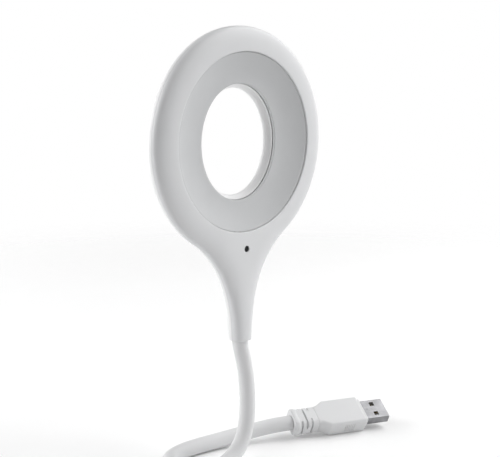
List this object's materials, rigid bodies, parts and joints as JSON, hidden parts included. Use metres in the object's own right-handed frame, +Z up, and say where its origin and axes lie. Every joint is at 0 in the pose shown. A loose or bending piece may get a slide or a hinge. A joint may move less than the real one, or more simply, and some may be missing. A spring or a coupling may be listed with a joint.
{
  "type": "usb ring lamp",
  "caption": "Flat LED ring head with an oval hole and a microphone, on a bendable gooseneck arm looped as a foot, ending in a USB-A plug.",
  "frame": {"origin": "on the table, at the middle of the lamp's footprint box", "axes": "+Z up, the ring head faces -Y, the plug points to +X and a little to -Y"},
  "size_m": [0.1385, 0.0471, 0.1971],
  "materials": {
    "white_plastic": "satin white, fine moulded surface",
    "diffuser": "translucent milky white, unlit",
    "board": "white solder mask",
    "led": "yellow phosphor, unlit",
    "chip": "black moulded package",
    "ceramic": "dark ceramic",
    "can": "drawn aluminium can",
    "rubber": "soft black rubber",
    "lead": "red insulated wire",
    "steel": "nickel-plated steel",
    "insert": "white moulded insert",
    "gold": "gold plated"
  },
  "bodies": {
    "plug": {"strain_relief": "white_plastic", "plug_overmould": "white_plastic", "plug_collar": "white_plastic", "usb_shell": "steel", "usb_tongue": "insert", "contact_power": "gold", "contact_data_minus": "gold", "contact_data_plus": "gold", "contact_ground": "gold", "plug_ferrule": "steel", "arm_sleeve_01": "white_plastic", "arm_core_01": "steel", "arm_lead": "lead"},
    "arm_link_1": {"arm_sleeve_02": "white_plastic", "arm_core_02": "steel"},
    "arm_link_2": {"arm_sleeve_03": "white_plastic", "arm_core_03": "steel"},
    "arm_link_3": {"arm_sleeve_04": "white_plastic", "arm_core_04": "steel"},
    "arm_link_4": {"arm_sleeve_05": "white_plastic", "arm_core_05": "steel"},
    "arm_link_5": {"arm_sleeve_06": "white_plastic", "arm_core_06": "steel"},
    "arm_link_6": {"arm_sleeve_07": "white_plastic", "arm_core_07": "steel"},
    "arm_link_7": {"arm_sleeve_08": "white_plastic", "arm_core_08": "steel"},
    "arm_link_8": {"arm_sleeve_09": "white_plastic", "arm_core_09": "steel"},
    "arm_link_9": {"arm_sleeve_10": "white_plastic", "arm_core_10": "steel"},
    "head": {"front_housing": "white_plastic", "rear_housing": "white_plastic", "diffuser": "diffuser", "light_board": "board", "led_01": "led", "led_02": "led", "led_03": "led", "led_04": "led", "led_05": "led", "led_06": "led", "led_07": "led", "led_08": "led", "led_09": "led", "led_10": "led", "led_11": "led", "led_12": "led", "control_board": "board", "voice_chip": "chip", "led_driver": "chip", "resistor": "ceramic", "capacitor": "can", "mic_capsule": "can", "mic_boot": "rubber", "light_lead_plus": "lead", "light_lead_minus": "lead", "neck_ferrule": "steel", "arm_sleeve_11": "white_plastic", "arm_core_11": "steel"}
  },
  "joints": [
    {"name": "bend_plug_lift", "type": "hinge", "parent": "plug", "child": "arm_link_1", "pos_m": [0.01267, 0.0062, 0.00723], "axis": [0.3984, 0.9172, 0], "range_deg": [-60, 60], "deforming": ["arm_sleeve_01", "arm_sleeve_02", "arm_core_01", "arm_core_02", "arm_lead"]},
    {"name": "bend_stem_swing", "type": "hinge", "parent": "arm_link_1", "child": "arm_link_2", "pos_m": [-0.0075, 0.01464, 0.0049], "axis": [0, 0, 1], "range_deg": [-45, 45], "deforming": ["arm_sleeve_02", "arm_sleeve_03", "arm_core_02", "arm_core_03", "arm_lead"]},
    {"name": "bend_loop_1", "type": "hinge", "parent": "arm_link_2", "child": "arm_link_3", "pos_m": [-0.02679, 0.0196, 0.0037], "axis": [0, 0, 1], "range_deg": [-50, 12], "deforming": ["arm_sleeve_03", "arm_sleeve_04", "arm_core_03", "arm_core_04", "arm_lead"]},
    {"name": "bend_loop_2", "type": "hinge", "parent": "arm_link_3", "child": "arm_link_4", "pos_m": [-0.0397, 0.0191, 0.00365], "axis": [0, 0, 1], "range_deg": [-50, 12], "deforming": ["arm_sleeve_04", "arm_sleeve_05", "arm_core_04", "arm_core_05", "arm_lead"]},
    {"name": "bend_loop_3", "type": "hinge", "parent": "arm_link_4", "child": "arm_link_5", "pos_m": [-0.05021, 0.01201, 0.00365], "axis": [0, 0, 1], "range_deg": [-50, 12], "deforming": ["arm_sleeve_05", "arm_sleeve_06", "arm_core_05", "arm_core_06", "arm_lead"]},
    {"name": "bend_loop_4", "type": "hinge", "parent": "arm_link_5", "child": "arm_link_6", "pos_m": [-0.05033, -0.00027, 0.00367], "axis": [0, 0, 1], "range_deg": [-50, 12], "deforming": ["arm_sleeve_06", "arm_sleeve_07", "arm_core_06", "arm_core_07", "arm_lead"]},
    {"name": "bend_riser_foot", "type": "hinge", "parent": "arm_link_6", "child": "arm_link_7", "pos_m": [-0.03555, -0.00687, 0.00458], "axis": [0.0064, -1, 0], "range_deg": [-50, 35], "deforming": ["arm_sleeve_07", "arm_sleeve_08", "arm_core_07", "arm_core_08", "arm_lead"]},
    {"name": "bend_riser_lower", "type": "hinge", "parent": "arm_link_7", "child": "arm_link_8", "pos_m": [-0.02106, -0.00569, 0.01417], "axis": [1, 0, 0], "range_deg": [-45, 45], "deforming": ["arm_sleeve_08", "arm_sleeve_09", "arm_core_08", "arm_core_09", "arm_lead"]},
    {"name": "bend_riser_upper", "type": "hinge", "parent": "arm_link_8", "child": "arm_link_9", "pos_m": [-0.01695, -0.00413, 0.03146], "axis": [0, 1, 0], "range_deg": [-45, 45], "deforming": ["arm_sleeve_09", "arm_sleeve_10", "arm_core_09", "arm_core_10", "arm_lead"]},
    {"name": "bend_head_tilt", "type": "hinge", "parent": "arm_link_9", "child": "head", "pos_m": [-0.01744, -0.00237, 0.04733], "axis": [1, 0, 0], "range_deg": [-50, 50], "deforming": ["arm_sleeve_10", "arm_sleeve_11", "arm_core_10", "arm_core_11", "arm_lead"]}
  ]
}
